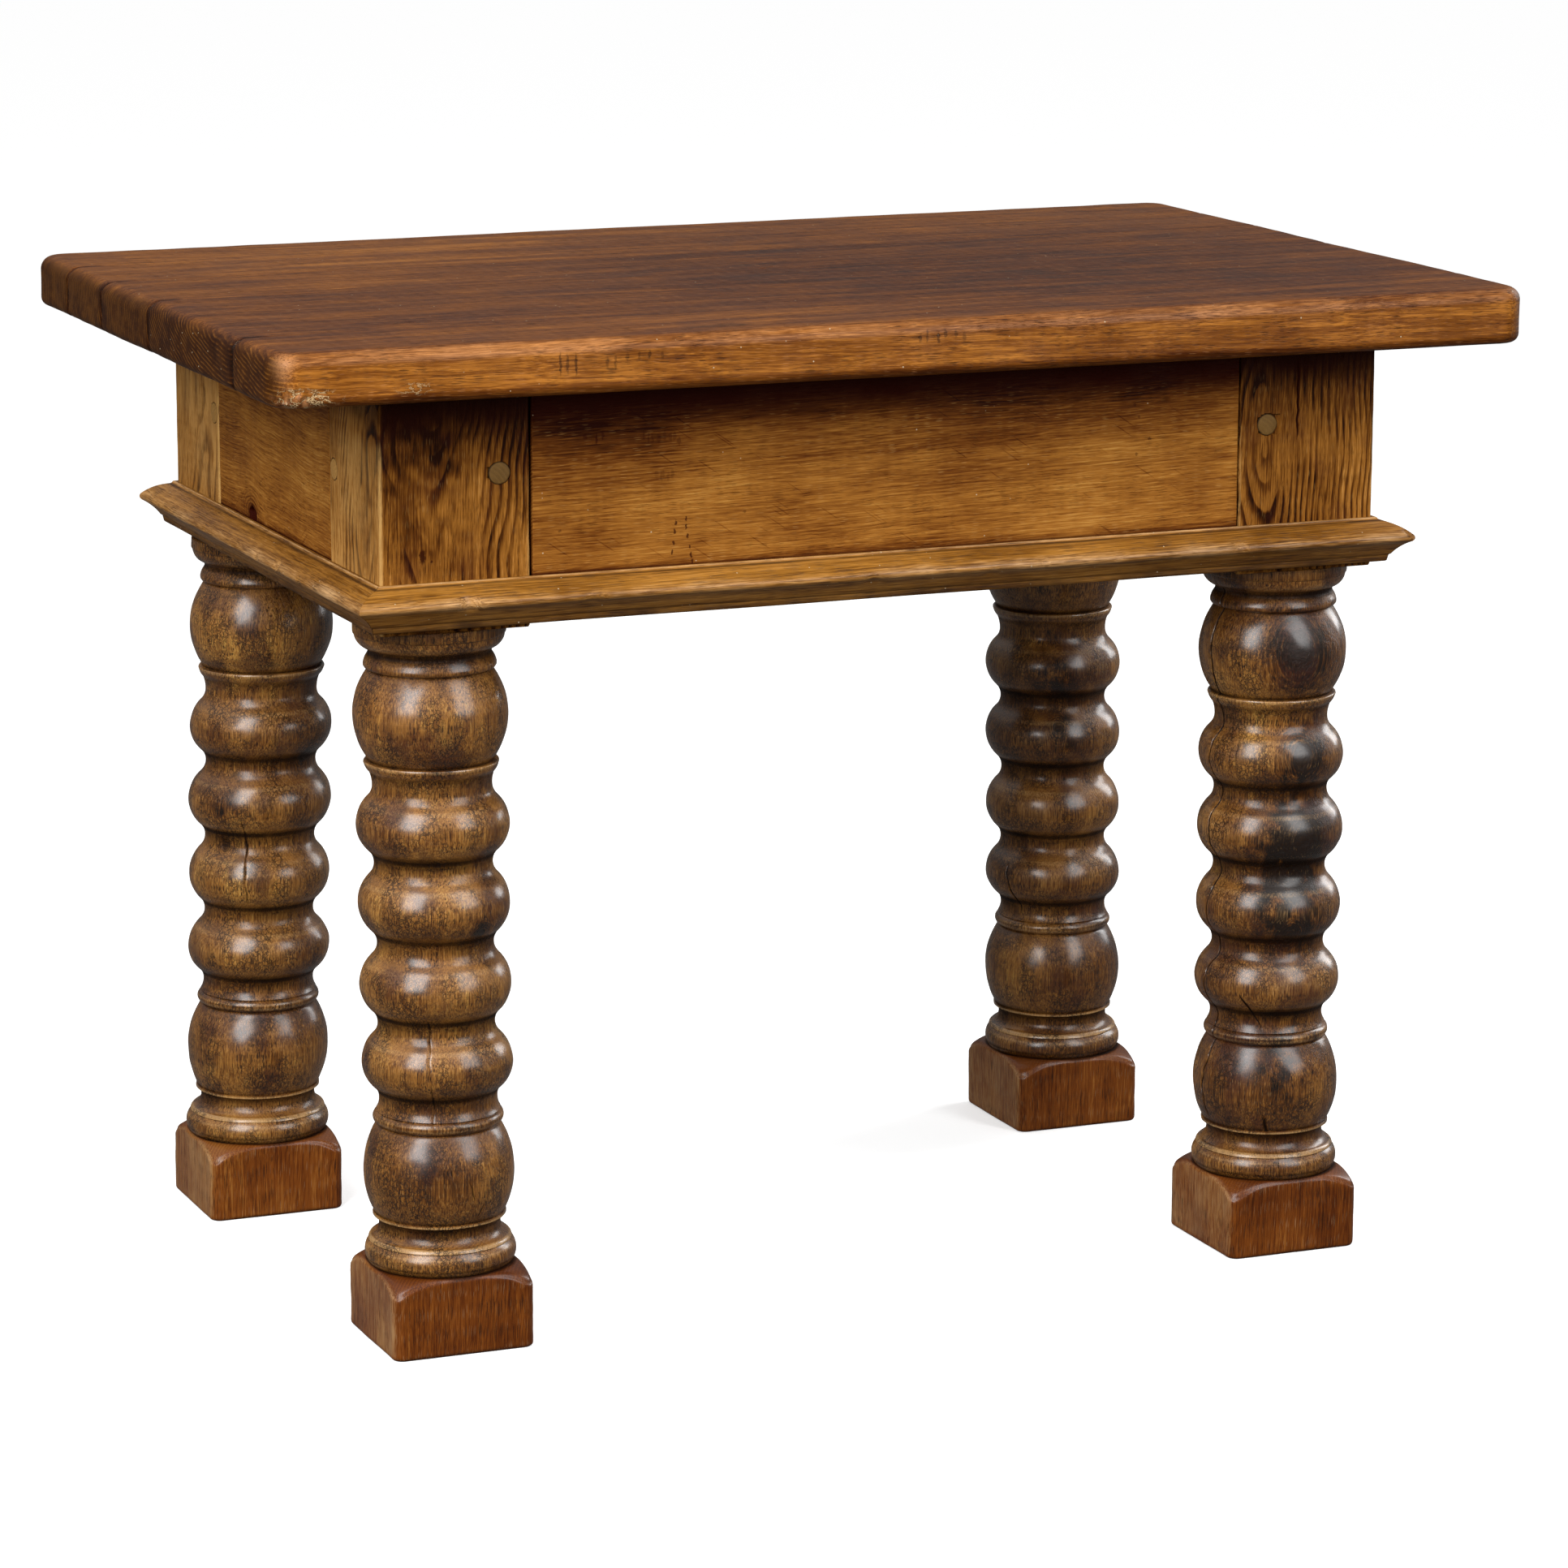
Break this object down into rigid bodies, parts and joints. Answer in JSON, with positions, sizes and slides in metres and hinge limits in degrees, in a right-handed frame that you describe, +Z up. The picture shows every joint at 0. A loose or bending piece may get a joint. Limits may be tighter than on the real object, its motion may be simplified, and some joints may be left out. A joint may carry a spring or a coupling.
{
  "type": "communion table",
  "caption": "Low joined oak table with a thick board top, pegged apron frame, mitred moulding and heavy bobbin-turned legs on square block feet.",
  "frame": {"origin": "on the floor under the middle of the top, the bottom centre of the bounding box", "axes": "+X along the table's length, +Y from front to back, +Z up"},
  "size_m": [0.992, 0.63, 0.76],
  "materials": {
    "top_oak": "dark red-brown waxed oak, satin, worn",
    "frame_oak": "golden-brown oak, waxed, low satin",
    "moulding_oak": "golden-brown oak, waxed, worn pale on the crest",
    "leg_oak": "olive-brown oak with dark patina in the hollows and polished crests",
    "foot_oak": "red-brown stained hardwood, satin",
    "peg_oak": "end-grain oak, matt",
    "bearer_oak": "unfinished sawn oak",
    "screw_steel": "dull plain steel"
  },
  "bodies": {
    "root": {"top_board_1": "top_oak", "top_board_2": "top_oak", "top_board_3": "top_oak", "top_board_4": "top_oak", "top_board_5": "top_oak", "leg_front_left": "leg_oak", "foot_front_left": "foot_oak", "peg_face_front_left": "peg_oak", "peg_side_front_left": "peg_oak", "leg_front_right": "leg_oak", "foot_front_right": "foot_oak", "peg_face_front_right": "peg_oak", "peg_side_front_right": "peg_oak", "leg_back_left": "leg_oak", "foot_back_left": "foot_oak", "peg_face_back_left": "peg_oak", "peg_side_back_left": "peg_oak", "leg_back_right": "leg_oak", "foot_back_right": "foot_oak", "peg_face_back_right": "peg_oak", "peg_side_back_right": "peg_oak", "rail_front": "frame_oak", "rail_back": "frame_oak", "rail_left": "frame_oak", "rail_right": "frame_oak", "moulding_front": "moulding_oak", "moulding_right": "moulding_oak", "moulding_back": "moulding_oak", "moulding_left": "moulding_oak", "bearer_left": "bearer_oak", "screw_left_1": "screw_steel", "screw_left_2": "screw_steel", "screw_left_3": "screw_steel", "screw_left_4": "screw_steel", "bearer_right": "bearer_oak", "screw_right_1": "screw_steel", "screw_right_2": "screw_steel", "screw_right_3": "screw_steel", "screw_right_4": "screw_steel"}
  },
  "joints": []
}
